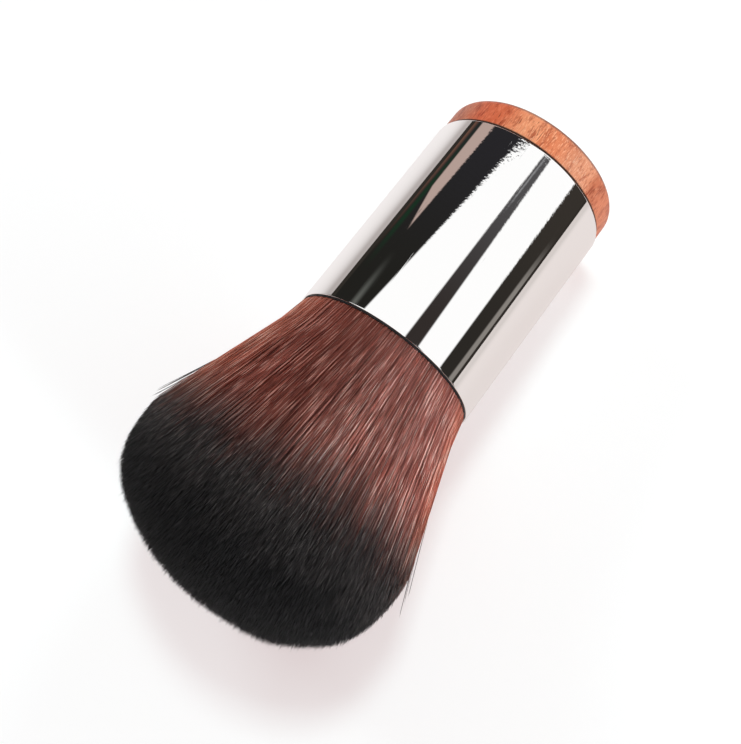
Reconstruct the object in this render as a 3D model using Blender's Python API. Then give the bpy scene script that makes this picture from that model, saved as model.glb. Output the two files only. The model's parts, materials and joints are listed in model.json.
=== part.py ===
"""Short-handled powder brush, lying on its side.

The brush is drawn along its own axis, in metres: +Z runs from the flat wooden end (0) to the
bristle tips. An empty then lays the whole brush on the floor, where it rests on the rim of its
wooden end and on its lowest bristles, which are cut flat there. In the world +Z is up, the
bristles point to -X, and the origin is on the floor, under the middle of the brush.
"""

import math

import bmesh
import bpy
import numpy as np
from mathutils import Vector

# Plated tube, the part that the hand holds
TUBE_RADIUS = 0.0175
TUBE_WALL = 0.0008
TUBE_LENGTH = 0.0413
TUBE_EDGE = 0.00015

# Wooden end: a disc that shows, and a tenon inside the tube
CAP_THICKNESS = 0.0060
CAP_SETBACK = 0.0003
CAP_OUTER_EDGE = 0.0019
CAP_SEAM_EDGE = 0.0002
TENON_LEAD_IN = 0.0008
GROOVE_WIDTH = 0.0030
GROOVE_DEPTH = 0.0012
GROOVE_PLACE_SHARES = {"rear": 0.28, "front": 0.72}

# Moulded cup that holds the bristle knot, with a thin flange that seats on the end of the tube
CUP_WALL = 0.0005
CUP_DEPTH = 0.0230
CUP_CORNER = 0.0015
FLANGE_THICKNESS = 0.0003
FLANGE_SETBACK = 0.0002
FLANGE_EDGE_SHARE = 0.25

# Bristle head, measured from the front of the flange
HEAD_LENGTH = 0.0508
HEAD_RADIUS = 0.0259
SHOULDER_HEIGHT = 0.0297
ROOT_RECESS = 0.0004
ROOT_THICKNESS = 0.0030
STRAND_GAP = 0.00034
STRAND_TAPER = 0.0050
STRAND_SWELL_SHARE = 1.04
DOME_ROUNDNESS = (2.68, 1.83)
STRANDS_ACROSS = 20
FLOOR_FLAT_DEPTH = 0.0006
DYE_LINE_HEIGHT = 0.0275
DYE_BLEND = 0.0100

# Clearance between pieces that touch on the real brush, and the share of it within which points weld
FIT = 0.0003
WELD_SHARE = 0.01

TURN_STEPS = 64
CORNER_STEPS = 5
FLOOR_LINE_ROUNDS = 4
HEIGHT_SEARCH_ROUNDS = 40

# Places along the axis and radii that follow from the sizes above
TUBE_REAR = CAP_THICKNESS + FIT
TUBE_FRONT = TUBE_REAR + TUBE_LENGTH
FLANGE_BACK = TUBE_FRONT + FIT
MOUTH = FLANGE_BACK + FLANGE_THICKNESS
BORE_RADIUS = TUBE_RADIUS - TUBE_WALL
CAP_RADIUS = TUBE_RADIUS - CAP_SETBACK
TENON_RADIUS = BORE_RADIUS - FIT
GROOVE_RADIUS = TENON_RADIUS - GROOVE_DEPTH
CUP_RADIUS = BORE_RADIUS - FIT
CUP_BORE = CUP_RADIUS - CUP_WALL
CUP_BASE = MOUTH - CUP_DEPTH
CUP_FLOOR = CUP_BASE + CUP_WALL
FLANGE_RADIUS = TUBE_RADIUS - FLANGE_SETBACK
TENON_END = CUP_BASE - FIT
ROOT_RADIUS = CUP_BORE - FIT
ROOT_TOP = MOUTH - ROOT_RECESS
ROOT_BOTTOM = ROOT_TOP - ROOT_THICKNESS
RESIN_TOP = ROOT_BOTTOM - FIT


def arc(centre, radius, start, end, steps):
    """Points of a round corner in the (radius, height) plane, from angle start to angle end in degrees."""
    angles = np.radians(np.linspace(start, end, steps + 1))
    return [(centre[0] + radius * math.cos(a), centre[1] + radius * math.sin(a)) for a in angles]


def material(name, colour, roughness, metallic=0.0):
    """One plain finish."""
    finish = bpy.data.materials.new(name)
    finish.use_nodes = True
    shader = finish.node_tree.nodes["Principled BSDF"]
    shader.inputs["Base Color"].default_value = (*colour, 1.0)
    shader.inputs["Roughness"].default_value = roughness
    shader.inputs["Metallic"].default_value = metallic
    finish.diffuse_color = (*colour, 1.0)
    return finish


def dipped_fibre(name, root_colour, tip_colour, roughness):
    """Fibre that is brown at the root and dyed black towards the tip, by its height on the brush."""
    finish = material(name, root_colour, roughness)
    nodes, links = finish.node_tree.nodes, finish.node_tree.links
    place = nodes.new("ShaderNodeTexCoord")
    split = nodes.new("ShaderNodeSeparateXYZ")
    height = nodes.new("ShaderNodeMapRange")
    blend = nodes.new("ShaderNodeMix")
    blend.data_type = "RGBA"
    height.inputs["From Min"].default_value = MOUTH + DYE_LINE_HEIGHT - DYE_BLEND / 2
    height.inputs["From Max"].default_value = MOUTH + DYE_LINE_HEIGHT + DYE_BLEND / 2
    blend.inputs["A"].default_value = (*root_colour, 1.0)
    blend.inputs["B"].default_value = (*tip_colour, 1.0)
    links.new(place.outputs["Object"], split.inputs["Vector"])
    links.new(split.outputs["Z"], height.inputs["Value"])
    links.new(height.outputs["Result"], blend.inputs["Factor"])
    links.new(blend.outputs["Result"], nodes["Principled BSDF"].inputs["Base Color"])
    return finish


def piece(name, mesh_builder, finish, frame):
    """A named object from a finished bmesh, carried by the empty that lays the brush down."""
    mesh = bpy.data.meshes.new(name)
    bmesh.ops.recalc_face_normals(mesh_builder, faces=mesh_builder.faces)
    mesh_builder.to_mesh(mesh)
    mesh_builder.free()
    mesh.shade_smooth()
    mesh.set_sharp_from_angle(angle=math.radians(30))
    mesh.materials.append(finish)
    made = bpy.data.objects.new(name, mesh)
    bpy.context.scene.collection.objects.link(made)
    made.parent = frame
    return made


def turned(outline, closed):
    """Spins a (radius, height) outline about the axis. A closed outline makes a ring or a tube.

    The first copy is turned by half a step, so that a flat facet and not a ridge faces the floor.
    """
    shape = bmesh.new()
    half_step = math.pi / TURN_STEPS
    points = [
        shape.verts.new((r * math.cos(half_step), r * math.sin(half_step), z)) for r, z in outline
    ]
    pairs = list(zip(points, points[1:]))
    if closed:
        pairs.append((points[-1], points[0]))
    edges = [shape.edges.new(pair) for pair in pairs]
    bmesh.ops.spin(
        shape,
        geom=points + edges,
        cent=(0, 0, 0),
        axis=(0, 0, 1),
        angle=2 * math.pi,
        steps=TURN_STEPS,
        use_merge=True,
    )
    bmesh.ops.remove_doubles(shape, verts=shape.verts, dist=FIT * WELD_SHARE)
    return shape


def tube_outline():
    """Tube wall, cut square, with all four edges broken."""
    return [
        (TUBE_RADIUS - TUBE_EDGE, TUBE_REAR),
        (TUBE_RADIUS, TUBE_REAR + TUBE_EDGE),
        (TUBE_RADIUS, TUBE_FRONT - TUBE_EDGE),
        (TUBE_RADIUS - TUBE_EDGE, TUBE_FRONT),
        (BORE_RADIUS + TUBE_EDGE, TUBE_FRONT),
        (BORE_RADIUS, TUBE_FRONT - TUBE_EDGE),
        (BORE_RADIUS, TUBE_REAR + TUBE_EDGE),
        (BORE_RADIUS + TUBE_EDGE, TUBE_REAR),
    ]


def groove_place(end):
    """Middle of one glue groove, along the axis."""
    return CAP_THICKNESS + (TENON_END - CAP_THICKNESS) * GROOVE_PLACE_SHARES[end]


def groove_outline(end):
    """The four corners of one glue groove, from the disc side to the cup side."""
    low = groove_place(end) - GROOVE_WIDTH / 2
    high = groove_place(end) + GROOVE_WIDTH / 2
    return [(TENON_RADIUS, low), (GROOVE_RADIUS, low), (GROOVE_RADIUS, high), (TENON_RADIUS, high)]


def wood_outline():
    """Disc with a rounded outer rim, then the tenon with two glue grooves and a lead-in."""
    rim_centre = (CAP_RADIUS - CAP_OUTER_EDGE, CAP_OUTER_EDGE)
    return [
        (0, 0),
        *arc(rim_centre, CAP_OUTER_EDGE, -90, 0, CORNER_STEPS),
        (CAP_RADIUS, CAP_THICKNESS - CAP_SEAM_EDGE),
        (CAP_RADIUS - CAP_SEAM_EDGE, CAP_THICKNESS),
        (TENON_RADIUS, CAP_THICKNESS),
        *groove_outline("rear"),
        *groove_outline("front"),
        (TENON_RADIUS, TENON_END - TENON_LEAD_IN),
        (TENON_RADIUS - TENON_LEAD_IN, TENON_END),
        (0, TENON_END),
    ]


def glue_outline(end):
    """Ring of set glue that fills a groove out to the bore of the tube."""
    inner = GROOVE_RADIUS + FIT
    outer = BORE_RADIUS - FIT
    low = groove_place(end) - GROOVE_WIDTH / 2 + FIT
    high = groove_place(end) + GROOVE_WIDTH / 2 - FIT
    return [(inner, low), (outer, low), (outer, high), (inner, high)]


def cup_outline():
    """Moulded cup with rounded corners at its floor and a flange round its open end."""
    outer_centre = (CUP_RADIUS - CUP_CORNER, CUP_BASE + CUP_CORNER)
    inner_corner = CUP_CORNER - CUP_WALL
    inner_centre = (CUP_BORE - inner_corner, CUP_FLOOR + inner_corner)
    flange_edge = FLANGE_THICKNESS * FLANGE_EDGE_SHARE
    return [
        (0, CUP_BASE),
        *arc(outer_centre, CUP_CORNER, -90, 0, CORNER_STEPS),
        (CUP_RADIUS, FLANGE_BACK),
        (FLANGE_RADIUS, FLANGE_BACK),
        (FLANGE_RADIUS, MOUTH - flange_edge),
        (FLANGE_RADIUS - flange_edge, MOUTH),
        (CUP_BORE, MOUTH),
        *arc(inner_centre, inner_corner, 0, -90, CORNER_STEPS),
        (0, CUP_FLOOR),
    ]


def resin_outline():
    """Resin cast in the cup up to the root disc of the bristles."""
    corner = CUP_CORNER - CUP_WALL
    base = CUP_FLOOR + FIT
    centre = (ROOT_RADIUS - corner, base + corner)
    return [
        (0, base),
        *arc(centre, corner, -90, 0, CORNER_STEPS),
        (ROOT_RADIUS, RESIN_TOP),
        (0, RESIN_TOP),
    ]


def disc_place(u, v):
    """Point of the unit disc for a point of the square from -1 to 1: rings of squares become rings."""
    if abs(u) < abs(v):
        angle = math.pi / 2 - math.pi / 4 * u / v
        return Vector((v * math.cos(angle), v * math.sin(angle)))
    if u == 0:
        return Vector((0, 0))
    angle = math.pi / 4 * v / u
    return Vector((u * math.cos(angle), u * math.sin(angle)))


def flank_radius(height):
    """Radius of the fanned bundle at a height over its root: a straight flare up to the shoulder."""
    shoulder = SHOULDER_HEIGHT + ROOT_RECESS
    return ROOT_RADIUS + (HEAD_RADIUS - ROOT_RADIUS) * height / shoulder


def dome_height(radius):
    """Height of the domed face over the root at a radius: a superellipse from shoulder to tip."""
    along, across = DOME_ROUNDNESS
    left = 1 - min(radius / HEAD_RADIUS, 1) ** across
    rise = HEAD_LENGTH - SHOULDER_HEIGHT
    return ROOT_RECESS + SHOULDER_HEIGHT + rise * left ** (1 / along)


def tip_height(share):
    """Height at which a strand that roots at this share of the root's radius meets the dome."""
    low, high = 0.0, HEAD_LENGTH + ROOT_RECESS
    for _ in range(HEIGHT_SEARCH_ROUNDS):
        middle = (low + high) / 2
        if middle < dome_height(share * flank_radius(middle)):
            low = middle
        else:
            high = middle
    return low


def bristle_shape():
    """Fanned strands, each a tapering four-sided blade, fused to the disc that binds their roots.

    A square grid is mapped onto the root disc. Each of its cells is inset, drawn out along the fan
    to where the strand is thickest, and then poked to a point on the dome.
    """
    shape = bmesh.new()
    bmesh.ops.create_grid(shape, x_segments=STRANDS_ACROSS, y_segments=STRANDS_ACROSS, size=1)
    for vert in shape.verts:
        place = disc_place(vert.co.x, vert.co.y) * ROOT_RADIUS
        vert.co = (place.x, place.y, ROOT_TOP)
    cells = list(shape.faces)
    rim = [edge for edge in shape.edges if edge.is_boundary]
    drawn = bmesh.ops.extrude_edge_only(shape, edges=rim)["geom"]
    for vert in drawn:
        if isinstance(vert, bmesh.types.BMVert):
            vert.co.z = ROOT_BOTTOM
    lower_rim = [edge for edge in shape.edges if edge.is_boundary]
    bmesh.ops.contextual_create(shape, geom=lower_rim)

    bmesh.ops.inset_individual(shape, faces=cells, thickness=STRAND_GAP / 2, use_even_offset=True)
    thick = bmesh.ops.extrude_discrete_faces(shape, faces=cells)["faces"]
    tips = []
    for face in thick:
        root = face.calc_center_median().xy
        share = root.length / ROOT_RADIUS
        tip = tip_height(share)
        belly = tip - STRAND_TAPER
        fan = flank_radius(belly) / ROOT_RADIUS
        for vert in face.verts:
            place = (root + (vert.co.xy - root) * STRAND_SWELL_SHARE) * fan
            vert.co = (place.x, place.y, ROOT_TOP + belly)
        place = root * flank_radius(tip) / ROOT_RADIUS
        tips.append((place.x, place.y, ROOT_TOP + tip))
    for face, tip in zip(thick, tips):
        poked = bmesh.ops.poke(shape, faces=[face])["verts"]
        poked[0].co = tip
    return shape


def floor_line(handle, bristles):
    """Where the floor meets the lying brush: the handle point that it touches, and the tilt.

    Local -X faces down. The tilt is the angle from the brush's axis to the floor, for which the
    deepest bristle vertex is FLOOR_FLAT_DEPTH under the floor. The handle's lowest point depends
    on the tilt, so the two are found in turn.
    """
    handle_points = np.array([vert.co for vert in handle.verts])
    bristle_points = np.array([vert.co for vert in bristles.verts])
    tilt = 0.0
    for _ in range(FLOOR_LINE_ROUNDS):
        depths = -handle_points[:, 0] * math.cos(tilt) - handle_points[:, 2] * math.sin(tilt)
        touch = handle_points[depths.argmax()]
        across = touch[0] - bristle_points[:, 0]
        along = bristle_points[:, 2] - touch[2]
        reach = np.hypot(across, along)
        tilt = (np.arctan2(across, along) - np.arcsin(FLOOR_FLAT_DEPTH / reach)).max()
    return touch, tilt


def cut_flat(bristles, touch, tilt):
    """Takes off what the floor would bend away, and closes each cut strand."""
    bmesh.ops.bisect_plane(
        bristles,
        geom=bristles.verts[:] + bristles.edges[:] + bristles.faces[:],
        plane_co=(touch[0], 0, touch[2]),
        plane_no=(-math.cos(tilt), 0, -math.sin(tilt)),
        clear_outer=True,
    )
    cut_edges = [edge for edge in bristles.edges if edge.is_boundary]
    bmesh.ops.holes_fill(bristles, edges=cut_edges)


def lay_down(frame, pieces, tilt):
    """Turns the brush over to lie along X, and sets the world origin on the floor under it."""
    frame.rotation_euler = (0, tilt - math.pi / 2, 0)
    bpy.context.view_layer.update()
    turn = frame.matrix_world
    corners = np.array([turn @ vert.co for made in pieces for vert in made.data.vertices])
    low, high = corners.min(axis=0), corners.max(axis=0)
    frame.location = (-(low[0] + high[0]) / 2, -(low[1] + high[1]) / 2, -low[2])


def main():
    for old in list(bpy.data.objects):
        bpy.data.objects.remove(old)
    frame = bpy.data.objects.new("brush_axis", None)
    bpy.context.scene.collection.objects.link(frame)

    nickel = material("nickel_plate", (0.80, 0.79, 0.78), 0.06, 1.0)
    wood = material("reddish_wood", (0.48, 0.17, 0.08), 0.45)
    plastic = material("black_plastic", (0.010, 0.010, 0.011), 0.35)
    resin = material("amber_resin", (0.42, 0.30, 0.14), 0.25)
    glue = material("set_glue", (0.62, 0.58, 0.50), 0.40)
    fibre = dipped_fibre("dipped_fibre", (0.17, 0.055, 0.042), (0.010, 0.010, 0.012), 0.5)

    end_shape = turned(wood_outline(), closed=False)
    bristles = bristle_shape()
    touch, tilt = floor_line(end_shape, bristles)
    cut_flat(bristles, touch, tilt)

    pieces = [
        piece("handle_tube", turned(tube_outline(), closed=True), nickel, frame),
        piece("wooden_end", end_shape, wood, frame),
        piece("knot_cup", turned(cup_outline(), closed=False), plastic, frame),
        piece("root_resin", turned(resin_outline(), closed=False), resin, frame),
        piece("bristle_head", bristles, fibre, frame),
    ]
    for end in GROOVE_PLACE_SHARES:
        shape = turned(glue_outline(end), closed=True)
        pieces.append(piece(f"glue_ring_{end}", shape, glue, frame))
    lay_down(frame, pieces, tilt)


main()
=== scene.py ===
"""Dresses the short powder brush that lies on its side on a white sheet.

The chromed tube, the wooden end, the black cup and the two-tone bristle head are surfaces worked
out with numpy in the brush's own coordinates, in metres: x and y lie across the brush, with -x
towards the floor, and z runs along it, from the flat wooden end to the bristle tips. to_world
gives every point its place in the frame. The photograph's left is the brush's +y.
"""

import json
import math

import bpy
import numpy as np
from mathutils import Matrix, Vector


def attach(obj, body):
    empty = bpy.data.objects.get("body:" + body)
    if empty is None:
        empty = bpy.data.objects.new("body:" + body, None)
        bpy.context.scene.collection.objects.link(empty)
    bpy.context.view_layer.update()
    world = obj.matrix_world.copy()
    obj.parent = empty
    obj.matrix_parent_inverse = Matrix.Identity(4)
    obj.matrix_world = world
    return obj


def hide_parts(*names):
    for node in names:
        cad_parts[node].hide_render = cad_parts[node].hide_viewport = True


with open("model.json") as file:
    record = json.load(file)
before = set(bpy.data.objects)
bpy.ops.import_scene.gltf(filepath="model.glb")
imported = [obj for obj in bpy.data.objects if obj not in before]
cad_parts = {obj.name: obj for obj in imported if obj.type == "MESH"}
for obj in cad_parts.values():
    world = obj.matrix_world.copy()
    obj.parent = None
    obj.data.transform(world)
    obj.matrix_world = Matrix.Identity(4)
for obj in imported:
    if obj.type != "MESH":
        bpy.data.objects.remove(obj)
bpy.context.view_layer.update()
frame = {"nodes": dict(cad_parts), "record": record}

# The brush's own axes, from the flat face that it can stand on
STAND_FACE = frame["record"]["mounts"][0]
END_CENTRE = np.array(STAND_FACE["pos_m"])
ALONG = -np.array(STAND_FACE["axis"])
ACROSS = np.array([0.0, 1.0, 0.0])
BRUSH_AXES = np.column_stack((np.cross(ACROSS, ALONG), ACROSS, ALONG))

# Tube, wooden end and cup, in metres
TUBE_RADIUS = 0.0175
TUBE_WALL = 0.0008
TUBE_REAR = 0.0063
TUBE_FRONT = 0.04779
TUBE_EDGE = 0.00014
CAP_RADIUS = 0.01718
CAP_THICKNESS = 0.0060
CAP_OUTER_EDGE = 0.0019
CAP_SEAM_EDGE = 0.00018
TENON_RADIUS = 0.0164
TENON_END = 0.0247
GROOVE_DEPTH = 0.0012
GROOVES = ((0.0098, 0.0128), (0.0181, 0.0211))
FLANGE_BACK = 0.04784
MOUTH = 0.04806
FLANGE_RADIUS = 0.0173
CUP_BORE = 0.0159
CUP_RADIUS = 0.0164
CUP_BASE = 0.0253
CUP_FLOOR = 0.0258
CUP_CORNER = 0.0015
CUP_LIP = 0.0010
TURN_STEPS = 320
ARC_STEPS = 7
SHARP_ANGLE = math.radians(35)

# Bristle head, measured from the mouth
ROOT_RADIUS = 0.0156
ROOT_TOP = MOUTH - 0.0006
ROOT_THICKNESS = 0.0030
SKIN_RADIUS = 0.01660
SKIN_FLARE = 0.3125
SKIN_SWELL = 0.00060
SKIN_SWELL_LENGTH = 0.0015
SHOULDER_HEIGHT = 0.0297
HEAD_RADIUS = 0.0259
HEAD_LENGTH = 0.0510
DOME_ALONG, DOME_ACROSS = 2.68, 1.83
HALVINGS = 30
PRESS_HEIGHT = 0.001

# Hairs: rings at the root and the exit, at shares of the length and near the tip, then a point
HAIR_COUNT = 44000
HAIR_PIECES = 10
HAIR_RADIUS = 0.000053
THINNEST, THICKEST = 0.75, 1.25
HAIR_SIDES = 3
HAIR_RINGS = 7
HAIR_START = ROOT_TOP - MOUTH - 0.0002
HAIR_EXIT = 0.0001
RING_SHARES = (0.17, 0.35, 0.55, 0.76)
POINT_LENGTH = 0.0011
TAPER = (0.9, 1.0, 1.0, 1.0, 1.0, 0.95, 0.8)
ROOT_SHAKE = 0.6
ROOT_LIMIT = 1.004
RING_SHAKE = 0.000005
SHAKE_GROWTH = (0, 1, 1, 1, 1, 1, 4, 8)
LEAN = 0.00009
CLUMP_LEAN, CLUMP_SIZE, CLUMP_SEEDS = 0.00001, 0.0013, (21, 22)
TIP_SHIFT, TIP_SPREAD = -0.0003, 0.00024
STRAY_PART, STRAY_REACH = 0.04, 0.0007
ROOT_SEED, HAIR_SEED = 11, 12

# Bumps of the dome: angle round the head, share of the bundle's radius, and height
BUMPS = (
    (-1.05, 1.0, -0.0008),
    (-1.60, 1.0, -0.0011),
    (-1.78, 0.83, 0.0009),
    (-1.92, 0.42, 0.0009),
    (1.34, 0.86, 0.0008),
)
BUMP_ANGLE, BUMP_SHARE = 0.5, 0.2

# Loose locks: angle, half width, part of the outer hairs, height, slope, and added length
LOCKS = (
    (1.27, 0.020, 0.95, 0.0160, 0.12, -0.0076),
    (-1.66, 0.03, 0.22, 0.0180, 0.08, 0.0030),
)
LOCK_EDGE = 0.975
LOCK_DYE_DROP = 0.008

# Dye line: its height, its bends (angle, width, rise), its waves (height, length, seed), its spread
DYE_HEIGHT = 0.0265
DYE_BENDS = ((0.12, 0.80, 0.0030), (1.45, 0.35, -0.0040))
DYE_WAVES = ((0.0006, 0.0040, 31), (0.0007, 0.0007, 32))
DYE_SPREAD = 0.0013

# Shade of the hairs: its wave (height, length, seed) and its spread
SHADE_WAVE = (0.03, 0.004, 42)
SHADE_SPREAD = 0.20

# Hair colours: a dark hair, a pale hair, a bright streak that is partly painted highlight, and a
# dark streak that is partly painted shade between hairs
BROWN = ((0.215, 0.068, 0.050), (0.39, 0.138, 0.104), (0.86, 0.48, 0.40), (0.095, 0.020, 0.013))
# The rosy colours are painted sheen: hairs towards the right are paler because of how light falls
ROSY_RIGHT_SHEEN = ((0.34, 0.140, 0.116), (0.60, 0.292, 0.247), (1.00, 0.79, 0.73), (0.14, 0.043, 0.034))
# The amber colours are a painted glow of light shining through the hairs at both sides
AMBER_SIDE_GLOW = ((0.47, 0.165, 0.108), (0.80, 0.335, 0.230), (1.00, 0.72, 0.58), (0.20, 0.050, 0.028))
SOOTY = ((0.080, 0.072, 0.072), (0.120, 0.108, 0.106), (0.30, 0.27, 0.26), (0.028, 0.026, 0.026))
BLACK = (
    (0.016, 0.016, 0.017), (0.027, 0.027, 0.029), (0.075, 0.075, 0.078), (0.007, 0.007, 0.008)
)
STREAK_PITCH = 53.0
STREAK_STRETCH = 0.20

# Wood: where the rings have their centre, how wide they are, and colours
WOOD_PITH = (0.010, 0.060)
WOOD_RING = 0.0170
WOOD_RING_PLACE = 0.0118
FINE_RING = 0.0013
WOOD_DEEP, WOOD_PALE = (0.60, 0.176, 0.078), (0.80, 0.318, 0.160)
WOOD_FIGURE = (0.36, 0.072, 0.030)
WOOD_FLECK = (0.88, 0.46, 0.27)
WOOD_PORE = (0.20, 0.045, 0.020)
WOOD_LATE_RING = (0.72, 0.62, 0.56)
# The rim colour is painted shade on the rounded edge of the flat face
WOOD_RIM_SHADE = (0.13, 0.035, 0.018)
# The seam colour is painted shade in the gap where the wood meets the tube
WOOD_SEAM_SHADE = (0.035, 0.016, 0.010)

# Tints across the wood, partly its own tone, mostly painted shade towards both sides and a paler
# painted sheen at the outer edges: each grows from its first to its last place along y
WOOD_TINTS_AND_SHADING = (
    (0.004, 0.010, (0.76, 0.46, 0.40)),
    (-0.001, -0.006, (0.77, 0.90, 1.05)),
    (-0.0080, -0.0103, (0.68, 0.47, 0.40)),
    (0.013, 0.0155, (0.80, 1.12, 1.30)),
    (-0.0148, -0.0162, (1.0, 1.25, 1.2)),
)

# Floor and room
SHEET_HALF = 3.0
SHEET_DROP = 0.00005
ROOM_GREY = 0.20
BACKDROP_WHITE = 0.98
STRIP_WHITE = 1.03
LEAN_AT_MOUTH, LEAN_TO_REAR = 18.2, 12.3

# Lamps: place, size in metres and power in watts
LAMPS = {
    "key": ((0.27, 0.13, 0.80), 0.15, 2.65),
    "low_right": ((-0.15, -0.75, 0.12), 0.25, 8.4),
    "left": ((0.10, 0.66, 0.38), 0.35, 2.7),
    "rear": ((0.70, 0.0, 0.38), 0.35, 2.0),
}
LAMP_AIM = (0, 0, 0.02)

# Camera, fitted to outlines: its axes, and how far right, up and ahead the mouth is in tube radii
CAMERA_RIGHT = (0.58664, -0.80985, 0.0)
CAMERA_UP = (0.78498, 0.56863, 0.24592)
MOUTH_IN_VIEW = (0.109, 0.091, 11.589)
FOCAL_PIXELS = 1173
PICTURE_PIXELS = 744
SENSOR_WIDTH = 36.0


def to_world(points):
    """Brush coordinates to frame coordinates."""
    return END_CENTRE + points @ BRUSH_AXES.T


def build_mesh(name, points, quads, triangles, corner_uv):
    """A mesh of quads and triangles, as arrays of point numbers, with one UV place per corner."""
    mesh = bpy.data.meshes.new(name)
    mesh.vertices.add(len(points))
    mesh.vertices.foreach_set("co", points.astype(np.float32).ravel())
    corners = np.concatenate((quads.ravel(), triangles.ravel()))
    sizes = np.concatenate((np.full(len(quads), 4), np.full(len(triangles), 3)))
    mesh.loops.add(len(corners))
    mesh.loops.foreach_set("vertex_index", corners.astype(np.int32))
    mesh.polygons.add(len(sizes))
    mesh.polygons.foreach_set("loop_start", (np.cumsum(sizes) - sizes).astype(np.int32))
    layer = mesh.uv_layers.new(name="OFBake", do_init=False)
    layer.uv.foreach_set("vector", corner_uv.astype(np.float32).ravel())
    mesh.update(calc_edges=True)
    mesh.validate()
    mesh.shade_smooth()
    return mesh


def add_piece(mesh, finish, node):
    """One finished piece, which rides on the brush and stands for a CAD node."""
    mesh.materials.append(finish)
    piece = bpy.data.objects.new(mesh.name, mesh)
    bpy.context.scene.collection.objects.link(piece)
    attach(piece, "root")
    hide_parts(node)


def arc(centre, radius, start, end):
    """Points of a round corner in the (radius, height) plane, from start to end in degrees."""
    angles = np.radians(np.linspace(start, end, ARC_STEPS + 1))
    return np.stack((centre[0] + radius * np.cos(angles), centre[1] + radius * np.sin(angles)), 1)


def outline(*stretches):
    """One (radius, height) outline out of single points and arcs."""
    return np.vstack([np.atleast_2d(stretch) for stretch in stretches])


def turned_mesh(name, profile, ring=False):
    """Surface of revolution: each profile point (radius, height) is carried round the axis.

    A ring's profile is a closed loop. Any other profile starts and ends on the axis, where each
    row of points is one point. The UV map has the angle across, the length of the profile up.
    """
    angle = 2 * math.pi * np.arange(TURN_STEPS) / TURN_STEPS
    radius, height = profile[:, :1], profile[:, 1:]
    points = np.stack(
        (radius * np.cos(angle), radius * np.sin(angle), height + 0 * angle), axis=2
    ).reshape(-1, 3)
    loop = np.vstack((profile, profile[:1])) if ring else profile
    length = np.concatenate(([0], np.cumsum(np.hypot(*np.diff(loop, axis=0).T))))
    up = length / length[-1]
    rows = len(loop) - 1
    row, turn = np.meshgrid(np.arange(rows), np.arange(TURN_STEPS), indexing="ij")
    row_ends = np.stack((row, row, row + 1, row + 1), 2).reshape(-1, 4)
    turn_ends = np.stack((turn, turn + 1, turn + 1, turn), 2).reshape(-1, 4)
    quads = row_ends % len(profile) * TURN_STEPS + turn_ends % TURN_STEPS
    uv = np.stack((turn_ends / TURN_STEPS, up[row_ends]), 2)
    triangles, triangle_uv = np.empty((0, 3), int), np.empty((0, 3, 2))
    if not ring:
        first, last = slice(0, TURN_STEPS), slice(len(quads) - TURN_STEPS, len(quads))
        quads[first, :2] = 0
        quads[last, 2:] = (len(profile) - 1) * TURN_STEPS
        triangles = np.vstack((quads[first][:, [0, 2, 3]], quads[last][:, [0, 1, 2]]))
        triangle_uv = np.concatenate((uv[first][:, [0, 2, 3]], uv[last][:, [0, 1, 2]]))
        quads, uv = quads[TURN_STEPS:-TURN_STEPS], uv[TURN_STEPS:-TURN_STEPS]
    corners = np.concatenate((quads.ravel(), triangles.ravel()))
    used, numbers = np.unique(corners, return_inverse=True)
    points = points[used]
    quads = numbers[: quads.size].reshape(-1, 4)
    triangles = numbers[quads.size :].reshape(-1, 3)

    # A negative volume means that the faces look inwards
    sides = points[quads[:, :3]]
    volume = np.einsum("ij,ij->", np.cross(sides[:, 0], sides[:, 1]), sides[:, 2])
    if volume < 0:
        quads, uv = quads[:, ::-1], uv[:, ::-1]
        triangles, triangle_uv = triangles[:, ::-1], triangle_uv[:, ::-1]
    corner_uv = np.concatenate((uv.reshape(-1, 2), triangle_uv.reshape(-1, 2)))
    mesh = build_mesh(name, to_world(points), quads, triangles, corner_uv)
    mesh.set_sharp_from_angle(angle=SHARP_ANGLE)
    return mesh


def tube_profile():
    """Tube wall, cut square, with all four edges rounded over."""
    edge, outer, inner = TUBE_EDGE, TUBE_RADIUS, TUBE_RADIUS - TUBE_WALL
    low, high = TUBE_REAR + 1.5 * edge, TUBE_FRONT - 1.5 * edge
    return outline(
        arc((outer - edge, TUBE_REAR + edge), edge, -90, 0),
        (outer, low),
        (outer, high),
        arc((outer - edge, TUBE_FRONT - edge), edge, 0, 90),
        arc((inner + edge, TUBE_FRONT - edge), edge, 90, 180),
        (inner, high),
        (inner, low),
        arc((inner + edge, TUBE_REAR + edge), edge, 180, 270),
    )


def wood_profile():
    """Disc with a rounded outer rim, then the tenon with its two glue grooves."""
    rim, seam = CAP_OUTER_EDGE, CAP_SEAM_EDGE
    groove_radius = TENON_RADIUS - GROOVE_DEPTH
    grooves = [
        [(TENON_RADIUS, low), (groove_radius, low), (groove_radius, high), (TENON_RADIUS, high)]
        for low, high in GROOVES
    ]
    return outline(
        (0, 0),
        (CAP_RADIUS - 2 * rim, 0),
        arc((CAP_RADIUS - rim, rim), rim, -90, 0),
        arc((CAP_RADIUS - seam, CAP_THICKNESS - seam), seam, 0, 90),
        (TENON_RADIUS, CAP_THICKNESS),
        *grooves,
        (TENON_RADIUS, TENON_END),
        (0, TENON_END),
    )


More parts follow.
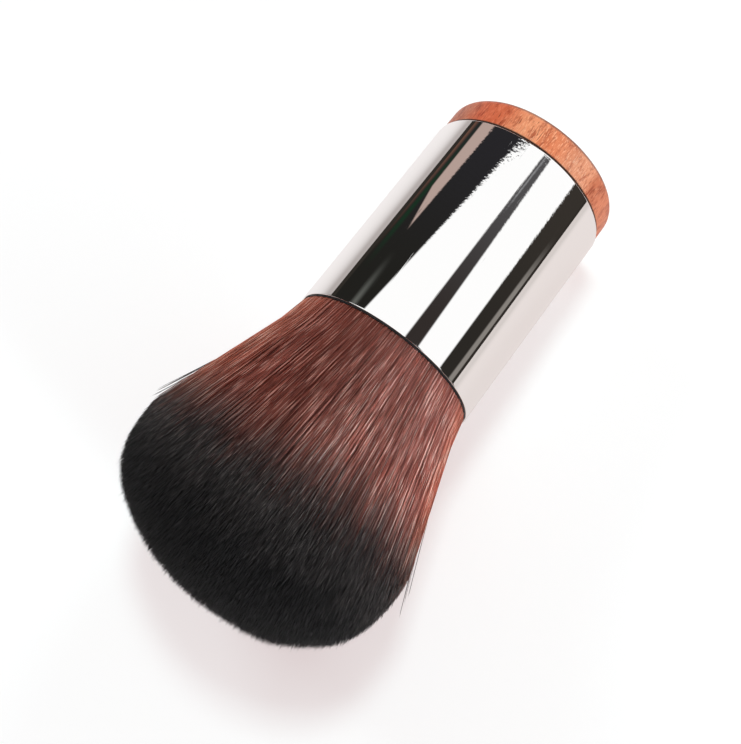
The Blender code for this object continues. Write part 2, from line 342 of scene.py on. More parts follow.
def cup_profile():
    """Cup with round corners at its floor and a thin flange with a softened front edge."""
    edge = (MOUTH - FLANGE_BACK) / 3
    inner_corner = CUP_CORNER - (CUP_RADIUS - CUP_BORE)
    return outline(
        (0, CUP_BASE),
        arc((CUP_RADIUS - CUP_CORNER, CUP_BASE + CUP_CORNER), CUP_CORNER, -90, 0),
        (CUP_RADIUS, FLANGE_BACK),
        (FLANGE_RADIUS, FLANGE_BACK),
        arc((FLANGE_RADIUS - edge, MOUTH - edge), edge, 0, 90),
        (CUP_BORE + CUP_LIP, MOUTH),
        (CUP_BORE, MOUTH - CUP_LIP),
        arc((CUP_BORE - inner_corner, CUP_FLOOR + inner_corner), inner_corner, 0, -90),
        (0, CUP_FLOOR),
    )


def binding_profile():
    """Disc in which the roots of the hairs are bound."""
    low = ROOT_TOP - ROOT_THICKNESS
    return outline((0, low), (ROOT_RADIUS, low), (ROOT_RADIUS, ROOT_TOP), (0, ROOT_TOP))


def waves(places, length, seed, count=40):
    """Smooth noise, mostly from -1 to 1: a sum of sine waves in random directions over places."""
    draw = np.random.default_rng(seed)
    heading = draw.uniform(0, 2 * math.pi, count)
    pitch = 2 * math.pi / (length * draw.uniform(0.6, 1.6, count))
    phase = draw.uniform(0, 2 * math.pi, count)
    along = np.cos(heading) * places[:, :1] + np.sin(heading) * places[:, 1:]
    return np.sin(along * pitch + phase).sum(1) / math.sqrt(count / 2)


def skin_radius(height):
    """Radius of the fanned bundle: a straight flare that swells a little over the flange.

    Over the mouth it is SKIN_RADIUS + SKIN_FLARE * height
    + SKIN_SWELL * exp(-height / SKIN_SWELL_LENGTH), and under the mouth the swell stays whole.
    """
    swell = SKIN_SWELL * np.exp(-np.maximum(height, 0) / SKIN_SWELL_LENGTH)
    return SKIN_RADIUS + SKIN_FLARE * height + swell


def dome_height(radius):
    """Height of the domed face over the mouth at a radius: a superellipse from shoulder to tip.

    (radius / HEAD_RADIUS) ** DOME_ACROSS + (rise / full rise) ** DOME_ALONG = 1
    """
    left = 1 - np.minimum(radius / HEAD_RADIUS, 1) ** DOME_ACROSS
    return SHOULDER_HEIGHT + (HEAD_LENGTH - SHOULDER_HEIGHT) * left ** (1 / DOME_ALONG)


def dome_reach(share):
    """Height at which a hair at this share of the bundle's radius meets the dome, by bisection."""
    low, high = np.zeros_like(share), np.full_like(share, HEAD_LENGTH)
    for _ in range(HALVINGS):
        middle = (low + high) / 2
        inside = middle < dome_height(share * skin_radius(middle))
        low, high = np.where(inside, middle, low), np.where(inside, high, middle)
    return low


def pressed(points):
    """Lifts what would lie under the floor: heights under 1 mm shrink smoothly towards zero.

    height' = limit * exp((height - limit) / limit), where height < limit
    """
    limit = PRESS_HEIGHT
    height = points[..., 2]
    points[..., 2] = np.where(height < limit, limit * np.exp((height - limit) / limit), height)
    return points


def angle_from(angle, side):
    """How far an angle is from a side, the short way round."""
    return np.angle(np.exp(1j * (angle - side)))


def hair_rows():
    """Every hair's share of the bundle's radius, its angle, its tip's height and its splay.

    The roots lie on a sunflower spiral, shaken: the share grows as the square root of a hair's
    number, and each hair is turned on by the golden angle. Tips end near the dome, a few well over
    it, and the dome is dented or raised by bell-shaped bumps in angle and share. The outermost
    hairs near a lock's angle splay outwards from a height on, by a slope, and are longer or
    shorter.
    """
    draw = np.random.default_rng(ROOT_SEED)
    number = np.arange(HAIR_COUNT)
    share = np.sqrt((number + 0.5) / HAIR_COUNT)
    angle = number * math.pi * (3 - math.sqrt(5))
    place = np.stack((share * np.cos(angle), share * np.sin(angle)), 1)
    place += draw.normal(0, ROOT_SHAKE / math.sqrt(HAIR_COUNT / math.pi), place.shape)
    share, angle = np.hypot(*place.T), np.arctan2(place[:, 1], place[:, 0])
    share = np.minimum(share, ROOT_LIMIT)
    tip = dome_reach(share) + draw.normal(TIP_SHIFT, TIP_SPREAD, HAIR_COUNT)
    for side, middle, height in BUMPS:
        turned, moved = angle_from(angle, side) / BUMP_ANGLE, (share - middle) / BUMP_SHARE
        tip += height * np.exp(-(turned**2 + moved**2))
    stray = draw.random(HAIR_COUNT) < STRAY_PART
    tip += np.where(stray, draw.uniform(0, STRAY_REACH, HAIR_COUNT), 0)
    splay = np.zeros((HAIR_COUNT, 2))
    for side, width, part, height, slope, longer in LOCKS:
        near = np.abs(angle_from(angle, side)) < width
        member = near & (share > LOCK_EDGE) & (draw.random(HAIR_COUNT) < part)
        splay[member, 0] = height
        splay[member, 1] = (slope * draw.uniform(0.8, 1, HAIR_COUNT))[member]
        tip += member * longer * draw.uniform(0.2, 1, HAIR_COUNT)
    order = np.argsort(angle)
    return share[order], angle[order], tip[order], splay[order]


def hair_colours(draw, angle, root, heights, loose):
    """How far the rings of every hair are past the dye line, in millimetres, and its shade.

    The dye line rises and falls round the head, waves over the roots, differs from hair to hair,
    and lies lower on loose hairs.
    """
    dye = DYE_HEIGHT
    for bend, width, rise in DYE_BENDS:
        dye = dye + rise * np.exp(-(((angle - bend) / width) ** 2))
    for height, length, seed in DYE_WAVES:
        dye = dye + height * waves(root, length, seed)
    dye = dye + draw.normal(0, DYE_SPREAD, len(angle)) - LOCK_DYE_DROP * loose
    height, length, seed = SHADE_WAVE
    shade = 1 + height * waves(root, length, seed) + draw.normal(0, SHADE_SPREAD, len(angle))
    return (heights - dye[:, None]) * 1000, shade


def hair_faces():
    """Point numbers of one hair's quads between its rings, and of its triangles at both ends."""
    side_a = np.arange(HAIR_SIDES)
    side_b = (side_a + 1) % HAIR_SIDES
    low = np.arange(HAIR_RINGS - 1)[:, None] * HAIR_SIDES
    high = low + HAIR_SIDES
    quads = np.stack((low + side_a, low + side_b, high + side_b, high + side_a), 2).reshape(-1, 4)
    last = (HAIR_RINGS - 1) * HAIR_SIDES
    tips = np.stack((last + side_a, last + side_b, np.full(HAIR_SIDES, last + HAIR_SIDES)), 1)
    return quads, np.vstack((tips, [[2, 1, 0]]))


def hair_meshes():
    """Three-sided tapering hairs that fan straight out of the cup and end on the dome.

    A hair at a share of the bundle's radius keeps that share at every height. Clumps lean
    together by smooth noise over the roots, every hair leans a little by itself, and its rings are
    shaken, so that hairs pass over and under each other. Each vertex carries how far it is past
    the dye line, in millimetres, and the shade of its hair.
    """
    draw = np.random.default_rng(HAIR_SEED)
    share, angle, tip, splay = hair_rows()
    count = len(tip)
    root = np.stack((share * np.cos(angle), share * np.sin(angle)), 1) * ROOT_RADIUS
    heights = np.outer(tip, (0, 0, *RING_SHARES, 1, 1))
    heights[:, 0], heights[:, 1] = HAIR_START, HAIR_EXIT
    heights[:, HAIR_RINGS - 1] -= POINT_LENGTH
    part = (heights - HAIR_START) / (HEAD_LENGTH - HAIR_START)
    radius = share[:, None] * skin_radius(heights)
    radius[:, 0] = share * ROOT_RADIUS
    radius = radius + splay[:, 1:] * np.maximum(heights - splay[:, :1], 0)
    centre = radius[..., None] * np.stack((np.cos(angle), np.sin(angle)), 1)[:, None]
    clumps = [waves(root, CLUMP_SIZE, seed) for seed in CLUMP_SEEDS]
    lean = CLUMP_LEAN * np.stack(clumps, 1) + draw.normal(0, LEAN, root.shape)
    centre = centre + lean[:, None] * part[..., None]
    shake = draw.normal(0, RING_SHAKE, (*heights.shape, 2)) * np.array(SHAKE_GROWTH)[:, None]
    middle = np.concatenate((centre + shake, (MOUTH + heights)[..., None]), 2)

    thickness = HAIR_RADIUS * draw.uniform(THINNEST, THICKEST, count)
    turn = draw.uniform(0, 2 * math.pi, count)[:, None]
    turn = turn + 2 * math.pi * np.arange(HAIR_SIDES) / HAIR_SIDES
    side = np.stack((np.cos(turn), np.sin(turn), 0 * turn), 2)
    offset = (thickness[:, None] * np.array(TAPER))[:, :, None, None] * side[:, None]
    rings = middle[:, :HAIR_RINGS, None] + offset
    points = np.concatenate((rings.reshape(count, -1, 3), middle[:, HAIR_RINGS:]), 1)
    points = pressed(to_world(points))

    past, shade = hair_colours(draw, angle, root, heights, splay[:, 1] > 0)
    ring_past = np.repeat(past[:, :HAIR_RINGS], HAIR_SIDES, 1)
    past = np.concatenate((ring_past, past[:, HAIR_RINGS:]), 1)
    shade = np.repeat(shade[:, None], points.shape[1], 1)
    for number, rows in enumerate(np.array_split(np.arange(count), HAIR_PIECES), 1):
        yield hair_mesh(f"head_hair_{number}", points[rows], past[rows], shade[rows])


def hair_uv(count):
    """UV places of every hair's corners. Each hair has a cell, unrolled from root to tip.

    The sides fill a cell up to sides_top, the point's sides stand over them, and the root's face
    has a corner. A cell has a margin on all four sides.
    """
    cells = math.ceil(math.sqrt(count))
    corner = np.stack((np.arange(count) % cells, np.arange(count) // cells), 1) / cells
    sides_top, point_top, margin = 0.8, 0.97, 0.04
    side = np.arange(HAIR_SIDES)
    across = np.stack((side, side + 1, side + 1, side), 1) / HAIR_SIDES
    ring = np.arange(HAIR_RINGS - 1)[:, None, None] + np.array([0, 0, 1, 1])
    up = sides_top * ring / (HAIR_RINGS - 1)
    side_uv = np.stack(np.broadcast_arrays(across, up), 3).reshape(-1, 2)
    point_across = np.stack((side, side + 1, side + 0.5), 1) / HAIR_SIDES
    point_up = np.tile([sides_top, sides_top, point_top], (HAIR_SIDES, 1))
    point_uv = np.stack((point_across, point_up), 2).reshape(-1, 2)
    root_uv = np.array([[0.9, 0.84], [0.9, 0.99], [0.99, 0.99]])
    parts = (side_uv, np.concatenate((point_uv, root_uv)))
    cell_uv = [(margin + (1 - 2 * margin) * part) / cells for part in parts]
    return np.concatenate([(corner[:, None] + part).reshape(-1, 2) for part in cell_uv])


def hair_mesh(name, points, past, shade):
    """One mesh out of many hairs, with the attributes that colour them."""
    count, size = points.shape[:2]
    first = size * np.arange(count)[:, None, None]
    quads, triangles = ((first + faces).reshape(-1, faces.shape[1]) for faces in hair_faces())
    mesh = build_mesh(name, points.reshape(-1, 3), quads, triangles, hair_uv(count))
    for attribute, values in (("past_dye_line", past), ("shade", shade)):
        layer = mesh.attributes.new(attribute, "FLOAT", "POINT")
        layer.data.foreach_set("value", values.astype(np.float32).ravel())
    return mesh


def new_material(name):
    """A new material, its tree and its Principled shader."""
    finish = bpy.data.materials.new(name)
    finish.use_nodes = True
    return finish, finish.node_tree, finish.node_tree.nodes["Principled BSDF"]


def set_inputs(tree, node, inputs):
    """Gives a node's inputs, by name or number, a value each, or a socket to link."""
    for key, value in inputs.items():
        if isinstance(value, bpy.types.NodeSocket):
            tree.links.new(value, node.inputs[key])
        else:
            node.inputs[key].default_value = value


def add_node(tree, kind, inputs=(), **settings):
    """A node with its inputs and settings."""
    made = tree.nodes.new(kind)
    for key, value in settings.items():
        setattr(made, key, value)
    set_inputs(tree, made, dict(inputs))
    return made


def math_node(tree, operation, a, b=0.0, c=0.0):
    """The result of one sum."""
    return add_node(tree, "ShaderNodeMath", {0: a, 1: b, 2: c}, operation=operation).outputs[0]


def product(tree, value, *factors):
    """A value multiplied by every factor."""
    for factor in factors:
        value = math_node(tree, "MULTIPLY", value, factor)
    return value


def rgba(colour):
    """A colour socket as it is, or red, green and blue made opaque."""
    return colour if isinstance(colour, bpy.types.NodeSocket) else (*colour, 1)


def mix_colour(tree, share, a, b, blend="MIX"):
    """Colour a turned into colour b by a share."""
    inputs = {0: share, 6: rgba(a), 7: rgba(b)}
    return add_node(tree, "ShaderNodeMix", inputs, data_type="RGBA", blend_type=blend).outputs[2]


def mix_shader(tree, share, a, b):
    """Shader a turned into shader b by a share."""
    return add_node(tree, "ShaderNodeMixShader", {0: share, 1: a, 2: b}).outputs[0]


def ramp(tree, value, low, high, to_low=0.0, to_high=1.0):
    """A value mapped smoothly from low..high to to_low..to_high."""
    span = {"Value": value, "From Min": low, "From Max": high, "To Min": to_low, "To Max": to_high}
    made = add_node(tree, "ShaderNodeMapRange", span, interpolation_type="SMOOTHSTEP")
    return made.outputs["Result"]


def split(tree, place):
    """The coordinates X, Y and Z of a place."""
    return add_node(tree, "ShaderNodeSeparateXYZ", {0: place}).outputs


def stretched(tree, place, scale):
    """A place with its coordinates scaled one by one."""
    return add_node(tree, "ShaderNodeMapping", {"Vector": place, "Scale": scale}).outputs[0]


def noise(tree, place, scale=1.0, detail=3.0, rough=0.5):
    """Noise from 0 to 1 over a place."""
    inputs = {"Vector": place, "Scale": scale, "Detail": detail, "Roughness": rough}
    return add_node(tree, "ShaderNodeTexNoise", inputs).outputs["Fac"]


def bump(tree, height, strength, distance, invert=False):
    """The normal of a surface with a relief."""
    inputs = {"Height": height, "Strength": strength, "Distance": distance}
    return add_node(tree, "ShaderNodeBump", inputs, invert=invert).outputs["Normal"]


def brush_place(tree):
    """Brush coordinates of the shaded point, out of its Object coordinates."""
    turn = Matrix(BRUSH_AXES.T.tolist())
    shift = -(turn @ Vector(END_CENTRE))
    place = add_node(tree, "ShaderNodeTexCoord").outputs["Object"]
    inputs = {"Vector": place, "Location": shift, "Rotation": turn.to_euler()}
    return add_node(tree, "ShaderNodeMapping", inputs).outputs["Vector"]


def chrome():
    """Bright plating with fine lengthwise rub marks, and small dents near the wooden end.

    The dents lie between two lines along the tube, and are shallower in part of that band.
    """
    finish, tree, shader = new_material("chrome_plating")
    place = brush_place(tree)
    rub = noise(tree, stretched(tree, place, (2600, 2600, 90)))
    dents = noise(tree, place, 1500.0, 2.5)
    axes = split(tree, place)
    left_part = ramp(tree, axes["Y"], -0.0020, 0.0010, 0.35, 1.0)
    right_part = ramp(tree, axes["Y"], -0.0080, -0.0092)
    dented = product(
        tree,
        ramp(tree, axes["Z"], 0.038, 0.012),
        ramp(tree, axes["Y"], 0.0085, 0.0065),
        ramp(tree, axes["Y"], -0.0125, -0.0105),
        math_node(tree, "MAXIMUM", left_part, right_part),
    )
    marks = ramp(tree, rub, 0.66, 0.80)
    relief = math_node(tree, "MULTIPLY_ADD", marks, 0.2, product(tree, dents, dented))
    looks = {
        "Base Color": (0.96, 0.955, 0.95, 1),
        "Metallic": 1.0,
        "Roughness": ramp(tree, rub, 0.4, 0.8, 0.010, 0.045),
        "Normal": bump(tree, relief, 1.0, 0.00001),
    }
    set_inputs(tree, shader, looks)
    return finish


def wood():
    """Oiled reddish wood: wide rings, mottled figure, pale flecks, open pores and tints across, the
    tints partly painted shade towards the sides and painted sheen at the outer edges.

    The flat face shows fine end grain. Painted shade darkens the edge of that face and the seam
    at the tube.
    """
    finish, tree, shader = new_material("oiled_wood")
    place = brush_place(tree)
    axes = split(tree, place)

    def grain(scale, detail=3.0, rough=0.6):
        """Noise stretched along the brush."""
        return noise(tree, stretched(tree, place, scale), detail=detail, rough=rough)

    def distance(x, y):
        """How far the point is from a line along the brush."""
        side = math_node(tree, "POWER", math_node(tree, "SUBTRACT", axes["X"], x), 2.0)
        rise = math_node(tree, "POWER", math_node(tree, "SUBTRACT", axes["Y"], y), 2.0)
        return math_node(tree, "SQRT", math_node(tree, "ADD", side, rise))

    wander = product(tree, grain((130, 130, 40), 1.0), 0.0040)
    reach = math_node(tree, "ADD", distance(*WOOD_PITH), wander)
    ring = math_node(tree, "MULTIPLY_ADD", reach, 1 / WOOD_RING, -WOOD_RING_PLACE / WOOD_RING)
    ring = math_node(tree, "FRACT", ring)
    fine_ring = math_node(tree, "MULTIPLY_ADD", wander, -0.75, reach)
    fine_ring = math_node(tree, "FRACT", product(tree, fine_ring, 1 / FINE_RING))
    mottle = grain((1100, 1100, 330), 4.0, 0.7)
    fleck = grain((5200, 5200, 1000))
    pore = ramp(tree, grain((3800, 3800, 700), 1.0, 0.4), 0.67, 0.74)

    colour = mix_colour(tree, ring, WOOD_DEEP, WOOD_PALE)
    layers = (
        (ramp(tree, mottle, 0.45, 0.66, 0.0, 0.85), WOOD_FIGURE),
        (ramp(tree, fleck, 0.50, 0.66, 0.0, 0.7), WOOD_FLECK),
        (product(tree, pore, 0.75), WOOD_PORE),
    )
    for share, tone in layers:
        colour = mix_colour(tree, share, colour, tone)
    across = math_node(tree, "ADD", axes["Y"], wander)
    # Painted shade darkens both sides, a paler painted sheen lies on the outer edges, partly the
    # wood's own tone
    for first, last, tint_and_shading in WOOD_TINTS_AND_SHADING:
        colour = mix_colour(tree, ramp(tree, across, first, last), colour, tint_and_shading, "MULTIPLY")
    end_grain = ramp(tree, axes["Z"], 0.0011, 0.0002)
    late = product(tree, ramp(tree, fine_ring, 0.35, 1.0), end_grain)
    colour = mix_colour(tree, late, colour, WOOD_LATE_RING, "MULTIPLY")
    # Painted shade: the rounded edge of the flat face is darkened
    shaded_face_edge = ramp(tree, distance(0.0, 0.0), 0.0150, 0.0158)
    rim = product(tree, ramp(tree, axes["Z"], 0.0014, 0.0006, 0.0, 0.85), shaded_face_edge)
    colour = mix_colour(tree, rim, colour, WOOD_RIM_SHADE)
    # Painted shade in the narrow gap at the tube's rear edge
    seam = ramp(tree, axes["Z"], CAP_THICKNESS - 0.0004, CAP_THICKNESS - 0.0001)
    looks = {
        "Base Color": mix_colour(tree, seam, colour, WOOD_SEAM_SHADE),
        "Roughness": 0.45,
        "Specular IOR Level": 0.3,
        "Normal": bump(tree, pore, 0.12, 0.00008, invert=True),
    }
    set_inputs(tree, shader, looks)
    return finish


def plain(name, colour, roughness, grain_scale):
    """A moulded or cast stuff with slight cloudiness."""
    finish, tree, shader = new_material(name)
    cloud = noise(tree, brush_place(tree), grain_scale)
    pale = [min(1.0, part * 1.3 + 0.004) for part in colour]
    looks = {
        "Base Color": mix_colour(tree, cloud, colour, pale),
        "Roughness": ramp(tree, cloud, 0.3, 0.7, roughness * 0.8, roughness * 1.2),
    }
    set_inputs(tree, shader, looks)
    return finish


def hair_finish():
    """Glossy fibre dipped in black dye, streaked along its length with painted highlights and
    shade.

    The streaks are noise on the hair's shade and its own length, and weaker near the mouth: bright
    streaks are partly painted highlight, dark ones partly painted shade between hairs. The fibre is
    brown, with a painted rosy sheen on the right and a painted amber glow of light through the
    hairs at both sides, and it lets some light through. The dye is sooty where it starts, and
    darker towards the tips and on the right.
    """
    finish, tree, shader = new_material("dipped_fibre")
    past = add_node(tree, "ShaderNodeAttribute", attribute_name="past_dye_line").outputs["Fac"]
    shade = add_node(tree, "ShaderNodeAttribute", attribute_name="shade").outputs["Fac"]
    own = {0: product(tree, shade, STREAK_PITCH), 1: product(tree, past, STREAK_STRETCH)}
    own_place = add_node(tree, "ShaderNodeCombineXYZ", own).outputs[0]
    streak = noise(tree, own_place, detail=0.6)
    calm = ramp(tree, past, -28.0, -15.0, 0.55, 1.0)
    # Bright streaks are partly painted highlight, dark streaks partly painted shade between hairs
    bright_streak_highlight = product(tree, ramp(tree, streak, 0.55, 0.65, 0.0, 0.9), calm)
    dark = product(tree, ramp(tree, streak, 0.45, 0.35, 0.0, 0.85), calm)
    patchy = math_node(tree, "ADD", past, ramp(tree, streak, 0.3, 0.7, -1.2, 1.2))
    dyed = ramp(tree, patchy, -9.0, 6.2)

    def fibre(dim, full, lit, shaded):
        """Colour of a hair by its shade, with bright streaks of partly painted highlight and dark
        streaks of partly painted shade.
        """
        colour = mix_colour(tree, ramp(tree, shade, 0.6, 1.4), dim, full)
        colour = mix_colour(tree, bright_streak_highlight, colour, lit)
        return mix_colour(tree, dark, colour, shaded)

    axes = split(tree, brush_place(tree))
    across = axes["Y"]
    skin = math_node(tree, "MULTIPLY_ADD", axes["Z"], SKIN_FLARE, SKIN_RADIUS - SKIN_FLARE * MOUTH)
    round_side = math_node(tree, "DIVIDE", across, skin)
    # Painted glow: the hairs near both outer sides turn amber, as if lit through from behind
    right_glow = ramp(tree, round_side, -0.86, -1.0, 0.0, 0.8)
    left_glow = ramp(tree, round_side, 0.54, 0.94, 0.0, 0.88)
    sides = math_node(tree, "MAXIMUM", left_glow, right_glow)
    # Painted sheen: the hairs turn paler and rosy towards the right
    bare = mix_colour(tree, ramp(tree, across, 0.006, -0.009), fibre(*BROWN), fibre(*ROSY_RIGHT_SHEEN))
    bare = mix_colour(tree, sides, bare, fibre(*AMBER_SIDE_GLOW))
    right_half = ramp(tree, across, 0.004, -0.013, 0.0, 0.5)
    deep = math_node(tree, "MAXIMUM", ramp(tree, past, 4.0, 15.5), right_half)
    dipped = mix_colour(tree, deep, fibre(*SOOTY), fibre(*BLACK))
    looks = {
        "Base Color": mix_colour(tree, dyed, bare, dipped),
        "Roughness": 0.33,
        "Specular IOR Level": 0.7,
    }
    set_inputs(tree, shader, looks)
    glow = mix_colour(tree, bright_streak_highlight, (0.85, 0.28, 0.17), (1.0, 0.55, 0.40))
    glow = mix_colour(tree, dark, glow, (0.40, 0.08, 0.04))
    glow = mix_colour(tree, dyed, glow, BLACK[0])
    through = add_node(tree, "ShaderNodeBsdfTranslucent", {"Color": glow}).outputs[0]
    mixed = mix_shader(tree, 0.4, shader.outputs[0], through)
    tree.links.new(mixed, tree.nodes["Material Output"].inputs["Surface"])
    return finish


def floor():
    """A white sheet, which the camera sees lifted towards white near the brush and white far off.

    The lift is rosy and the sheet under it is not, so lit places are white and the brush's shadow
    is rosy. Bright metal sees it as a pale sheet that ends to the left and right, and grows darker
    towards the left.
    """
    corners = [
        (x * SHEET_HALF, y * SHEET_HALF, -SHEET_DROP)
        for x, y in ((-1, -1), (1, -1), (1, 1), (-1, 1))
    ]
    mesh = bpy.data.meshes.new("sheet")
    mesh.from_pydata(corners, [], [(0, 1, 2, 3)])
    finish, tree, shader = new_material("white_sheet")
    path = add_node(tree, "ShaderNodeLightPath").outputs
    place = add_node(tree, "ShaderNodeTexCoord").outputs["Object"]
    across = split(tree, place)["Y"]
    away = add_node(tree, "ShaderNodeVectorMath", {0: place}, operation="LENGTH").outputs["Value"]
    far = ramp(tree, away, 0.13, 0.34)
    paper = mix_colour(tree, path["Is Camera Ray"], (0.93, 0.925, 0.925), (0.72, 0.97, 0.97))
    set_inputs(tree, shader, {"Base Color": paper, "Roughness": 0.9, "Specular IOR Level": 0.0})

    to_left = ramp(tree, across, 0.035, 0.165)
    left = mix_colour(tree, to_left, (0.90, 0.85, 0.84), (0.30, 0.250, 0.235))
    from_right = ramp(tree, across, -0.20, -0.10)
    right = mix_colour(tree, from_right, (0.58, 0.51, 0.48), (0.77, 0.685, 0.66))
    pale = mix_colour(tree, ramp(tree, across, -0.02, 0.03), right, left)
    inside = product(tree, ramp(tree, across, 0.31, 0.28), ramp(tree, across, -0.46, -0.42))
    pale = mix_colour(tree, inside, (0.030, 0.026, 0.022), pale)
    lift = mix_colour(tree, far, (1.56, 1.13, 1.13), (BACKDROP_WHITE,) * 3)
    seen = mix_colour(tree, path["Is Glossy Ray"], lift, pale)
    glow = add_node(tree, "ShaderNodeEmission", {"Color": seen, "Strength": 1.0}).outputs[0]
    lifted = math_node(tree, "MULTIPLY_ADD", far, 0.65, 0.35)
    lifted = product(tree, path["Is Camera Ray"], lifted)
    mirrored = math_node(tree, "MULTIPLY_ADD", inside, -0.2, 1.0)
    share = math_node(tree, "MULTIPLY_ADD", path["Is Glossy Ray"], mirrored, lifted)
    mixed = mix_shader(tree, share, shader.outputs[0], glow)
    tree.links.new(mixed, tree.nodes["Material Output"].inputs["Surface"])
    mesh.materials.append(finish)
    sheet = bpy.data.objects.new("sheet", mesh)
    bpy.context.scene.collection.objects.link(sheet)


def studio():
    """White room for the camera, soft light for matt surfaces, and strip lights for the chrome.

    The strips are laid out by the angle round the brush's axis, in degrees from straight up
    towards -y, and by the lean towards the wooden end. Each edge has one angle at the lean that
    the mouth of the tube shows and one at the lean that its rear end shows.
    """
    world = bpy.data.worlds.new("studio")
    bpy.context.scene.world = world
    world.use_nodes = True
    tree = world.node_tree
    sight = add_node(tree, "ShaderNodeTexCoord").outputs["Generated"]

    def towards(direction):
        """How far the line of sight goes in a direction."""
        inputs = {0: sight, 1: tuple(direction)}
        made = add_node(tree, "ShaderNodeVectorMath", inputs, operation="DOT_PRODUCT")
        return made.outputs["Value"]

    around = math_node(tree, "ARCTAN2", towards((0, -1, 0)), towards(BRUSH_AXES[:, 0]))
    around = product(tree, around, 180 / math.pi)
    lean = product(tree, math_node(tree, "ARCSINE", towards(-ALONG)), 180 / math.pi)
    rear = product(tree, math_node(tree, "SUBTRACT", lean, LEAN_AT_MOUTH), 1 / LEAN_TO_REAR)
    rear = math_node(tree, "MAXIMUM", math_node(tree, "MINIMUM", rear, 1.6), -0.6)

    def line(at_mouth, at_wood):
        """An angle that changes evenly from the mouth to the rear."""
        return math_node(tree, "MULTIPLY_ADD", rear, at_wood - at_mouth, at_mouth)

    def beyond(place, soft):
        """0 before the place and 1 after it, going towards -y."""
        return ramp(tree, math_node(tree, "SUBTRACT", around, place), -soft, soft)

    def paint(colour, tone, first, last, soft, *fades):
        """The colour with a strip of a tone between two edges, faded along the brush."""
        before = math_node(tree, "SUBTRACT", 1.0, beyond(last, soft))
        share = product(tree, beyond(first, soft), before)
        return mix_colour(tree, product(tree, share, *fades), colour, tone)

    near_rear = ramp(tree, rear, 0.2, 1.0)
    colour = (STRIP_WHITE,) * 3

    # Left of the photograph: a dark field with a streak, a green and a brown tinge, and a wedge
    dark = mix_colour(tree, near_rear, (0.0155, 0.0150, 0.0130), (0.021, 0.020, 0.023))
    fade = ramp(tree, rear, 0.36, 0.05)
    dark = paint(dark, (0.125, 0.130, 0.118), line(-63, -63), line(-57, -57), 3.5, fade)
    fades = ramp(tree, rear, 0.2, 0.5), ramp(tree, rear, 0.6, 1.0, 1.0, 0.2)
    dark = paint(dark, (0.011, 0.032, 0.017), line(-86, -81), line(-78, -77), 3.0, *fades)
    fade = ramp(tree, rear, 0.2, 0.9)
    dark = paint(dark, (0.135, 0.068, 0.048), line(-110, -110), line(-88, -83), 3.0, fade)
    slant = math_node(tree, "MULTIPLY_ADD", lean, -5.1, 56.4)
    wedge_start = math_node(tree, "MAXIMUM", slant, -76.6)
    wedge_end = math_node(tree, "MULTIPLY_ADD", lean, 0.92, -87.2)
    dark = paint(dark, (0.47, 0.35, 0.31), wedge_start, wedge_end, 1.2)
    left_edge = math_node(tree, "ADD", line(-46.8, -20.4), ramp(tree, rear, 0.93, 1.02, 0.0, 9.0))
    colour = paint(colour, dark, line(-180, -180), left_edge, 1.4)

    # Middle: a dark strip that ends before the wood, with two pale streaks
    dark = mix_colour(tree, near_rear, (0.033, 0.027, 0.025), (0.085, 0.083, 0.086))
    fade = ramp(tree, rear, 0.72, 0.84)
    dark = paint(dark, (0.30, 0.30, 0.31), line(13.6, 13.6), line(15.0, 15.0), 1.2, fade)
    fade = ramp(tree, rear, 0.13, 0.02)
    dark = paint(dark, (0.30, 0.28, 0.27), line(26.2, 26.2), line(27.2, 27.2), 0.8, fade)
    fade = ramp(tree, rear, 1.04, 1.0)
    colour = paint(colour, dark, line(11.4, 10.9), line(30.6, 20.6), 1.2, fade)

    # Right: a dark field with one pale streak
    dark = mix_colour(tree, near_rear, (0.025, 0.022, 0.019), (0.038, 0.032, 0.027))
    fade = ramp(tree, rear, 0.78, 0.5)
    dark = paint(dark, (0.25, 0.23, 0.21), line(82, 82), line(88.5, 88.5), 1.5, fade)
    colour = mix_colour(tree, beyond(line(64.6, 61.8), 1.2), colour, dark)

    def background(light):
        """A shader of one colour all round."""
        inputs = {"Color": rgba(light), "Strength": 1.0}
        return add_node(tree, "ShaderNodeBackground", inputs).outputs[0]

    path = add_node(tree, "ShaderNodeLightPath").outputs
    even = background((ROOM_GREY,) * 3)
    lit = mix_shader(tree, path["Is Glossy Ray"], even, background(colour))
    seen = mix_shader(tree, path["Is Camera Ray"], lit, background((BACKDROP_WHITE,) * 3))
    output = next(node for node in tree.nodes if node.type == "OUTPUT_WORLD")
    tree.links.new(seen, output.inputs["Surface"])


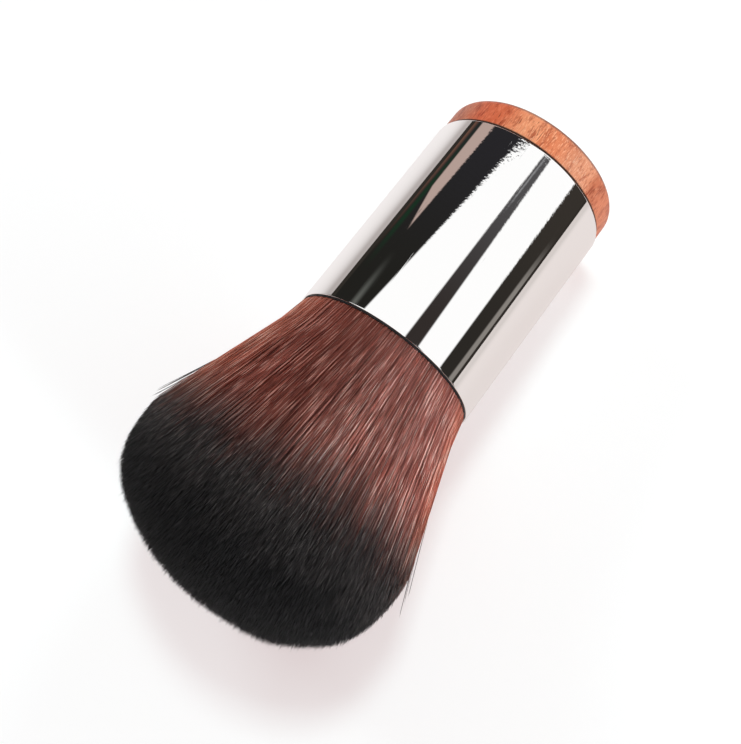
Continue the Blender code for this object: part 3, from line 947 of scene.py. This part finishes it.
def lamp(name, place, size, power):
    """A soft square lamp that points at the brush and isn't mirrored in it."""
    data = bpy.data.lights.new(name, "AREA")
    data.size = size
    data.energy = power
    light = bpy.data.objects.new(name, data)
    light.location = place
    light.rotation_euler = (Vector(LAMP_AIM) - Vector(place)).to_track_quat("-Z", "Y").to_euler()
    light.visible_glossy = False
    bpy.context.scene.collection.objects.link(light)


def camera():
    """The photograph's view."""
    right, up = np.array(CAMERA_RIGHT), np.array(CAMERA_UP)
    ahead = np.cross(up, right)
    mouth = to_world(np.array([0, 0, TUBE_FRONT + TUBE_EDGE]))
    data = bpy.data.cameras.new("camera")
    data.sensor_width = SENSOR_WIDTH
    data.lens = SENSOR_WIDTH * FOCAL_PIXELS / PICTURE_PIXELS
    view = bpy.data.objects.new("camera", data)
    aside, above, away = MOUTH_IN_VIEW
    place = mouth - TUBE_RADIUS * (aside * right + above * up + away * ahead)
    turn = Matrix(np.column_stack((right, up, -ahead)).tolist())
    view.matrix_world = Matrix.Translation(place) @ turn.to_4x4()
    bpy.context.scene.collection.objects.link(view)
    bpy.context.scene.camera = view


def main():
    """Camera, light and floor, then every piece in its finish."""
    bpy.context.scene.view_settings.view_transform = "Standard"
    camera()
    studio()
    floor()
    for name, (place, size, power) in LAMPS.items():
        lamp(name, place, size, power)

    tube = turned_mesh("polished_tube", tube_profile(), ring=True)
    add_piece(tube, chrome(), "handle_tube")
    end = turned_mesh("turned_wood", wood_profile())
    add_piece(end, wood(), "wooden_end")
    cup = turned_mesh("flanged_cup", cup_profile())
    black = plain("black_plastic", (0.004, 0.004, 0.0045), 0.55, 900)
    add_piece(cup, black, "knot_cup")
    binding = turned_mesh("root_binding", binding_profile())
    roots = plain("bound_roots", (0.06, 0.02, 0.015), 0.6, 1500)
    add_piece(binding, roots, "bristle_head")
    dipped = hair_finish()
    for hairs in hair_meshes():
        add_piece(hairs, dipped, "bristle_head")

    resin = plain("amber_resin", (0.42, 0.30, 0.14), 0.25, 300)
    glue = plain("set_glue", (0.62, 0.58, 0.50), 0.40, 700)
    inner = {"root_resin": resin, "glue_ring_front": glue, "glue_ring_rear": glue}
    for node, finish in inner.items():
        frame["nodes"][node].material_slots[0].material = finish


main()
